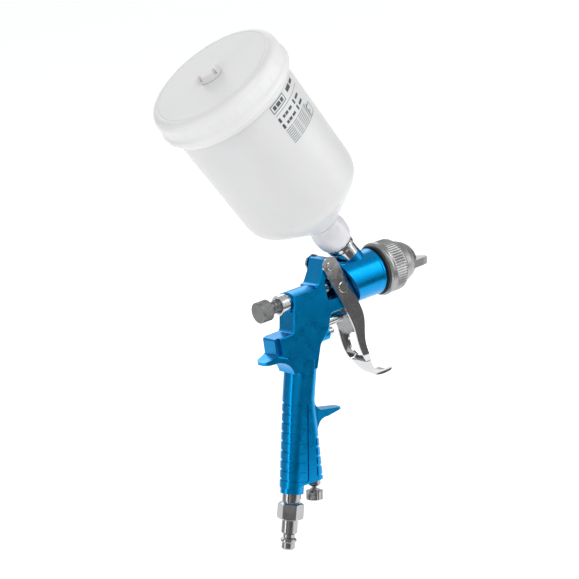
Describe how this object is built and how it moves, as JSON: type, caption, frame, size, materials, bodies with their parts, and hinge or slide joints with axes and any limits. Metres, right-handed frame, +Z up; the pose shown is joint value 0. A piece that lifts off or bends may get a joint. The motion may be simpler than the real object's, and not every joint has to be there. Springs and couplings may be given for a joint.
{
  "type": "hvlp spray gun",
  "caption": "Gravity-feed HVLP spray gun with a blue forged body, chrome trigger, round air cap and a tilted translucent cup with a lid.",
  "frame": {"origin": "middle of the grip, on the axis of the air inlet, in the middle plane", "axes": "+X along the spray, +Z up square to the needle axis, +Y to the gun's left"},
  "size_m": [0.1918, 0.1038, 0.373],
  "materials": {
    "body_paint": "gloss blue",
    "chrome": "polished",
    "satin_steel": "satin",
    "bright_steel": "turned",
    "spring_steel": "drawn wire",
    "black_rubber": "matt",
    "brass": "turned",
    "cup_plastic": "translucent white",
    "lid_plastic": "satin white",
    "white_plastic": "satin white",
    "filter_plastic": "mesh"
  },
  "bodies": {
    "gun": {"gun_body": "body_paint", "head_gasket": "black_rubber", "fluid_nozzle": "bright_steel", "air_baffle": "brass", "needle_packing": "black_rubber", "packing_nut": "brass", "needle_spring": "spring_steel", "adjuster_sleeve": "satin_steel", "trigger_pivot_pin": "chrome", "pivot_clip": "spring_steel", "air_valve_body": "chrome", "air_valve_spring": "spring_steel", "passage_plug": "chrome", "inlet_nipple": "chrome", "coupler_plug": "chrome", "air_control_bush": "chrome"},
    "trigger": {"trigger": "chrome", "pull_bar": "chrome"},
    "needle": {"fluid_needle": "bright_steel", "needle_collar": "brass", "spring_seat": "bright_steel"},
    "valve_stem": {"air_valve_stem": "bright_steel", "air_valve_seal": "black_rubber"},
    "fluid_knob": {"fluid_knob": "satin_steel"},
    "air_control_knob": {"air_control_knob": "chrome"},
    "air_cap": {"air_cap": "satin_steel"},
    "air_cap_ring": {"air_cap_ring": "satin_steel"},
    "cup": {"cup_connector": "chrome", "cup_neck": "white_plastic", "cup": "cup_plastic", "cup_filter": "filter_plastic"},
    "cup_lid": {"cup_lid": "lid_plastic", "lid_gasket": "black_rubber"},
    "drip_cap": {"drip_cap": "lid_plastic"}
  },
  "joints": [
    {"name": "trigger_pull", "type": "hinge", "parent": "gun", "child": "trigger", "pos_m": [0.0467, 0, 0.1082], "axis": [0, 1, 0], "range_deg": [0, 12], "stiffness_Nm_per_rad": 1.2, "springref_deg": -20.05},
    {"name": "needle_draw", "type": "slide", "parent": "gun", "child": "needle", "axis": [-1, 0, 0], "range_m": [0, 0.0042], "deforming": ["needle_spring"]},
    {"name": "valve_lift", "type": "slide", "parent": "gun", "child": "valve_stem", "axis": [-1, 0, 0], "range_m": [0, 0.0098], "deforming": ["air_valve_spring"]},
    {"name": "fluid_adjust", "type": "hinge", "parent": "gun", "child": "fluid_knob", "pos_m": [-0.012, 0, 0.09], "axis": [1, 0, 0], "range_deg": [0, 1080]},
    {"name": "air_adjust", "type": "hinge", "parent": "gun", "child": "air_control_knob", "pos_m": [0.0064, 0, -0.047], "axis": [-0.1736, 0, -0.9848], "range_deg": [0, 720]},
    {"name": "air_cap_turn", "type": "hinge", "parent": "gun", "child": "air_cap", "pos_m": [0.11, 0, 0.09], "axis": [1, 0, 0], "range_deg": [-90, 90]},
    {"name": "ring_unscrew", "type": "hinge", "parent": "gun", "child": "air_cap_ring", "pos_m": [0.1, 0, 0.09], "axis": [1, 0, 0], "range_deg": [0, 1080]},
    {"name": "cup_lift", "type": "slide", "parent": "gun", "child": "cup", "axis": [-0.4939, 0, 0.8695], "range_m": [0, 0.05]},
    {"name": "lid_lift", "type": "slide", "parent": "cup", "child": "cup_lid", "axis": [-0.4939, 0, 0.8695], "range_m": [0, 0.05]},
    {"name": "vent_turn", "type": "hinge", "parent": "cup_lid", "child": "drip_cap", "pos_m": [-0.01868, 0, 0.26564], "axis": [-0.4939, 0, 0.8695], "range_deg": [0, 90]}
  ],
  "couplings": [
    {"joint": "needle_draw", "follows": "trigger_pull", "m_per_rad": 0.019},
    {"joint": "valve_lift", "follows": "trigger_pull", "m_per_rad": 0.0442}
  ]
}
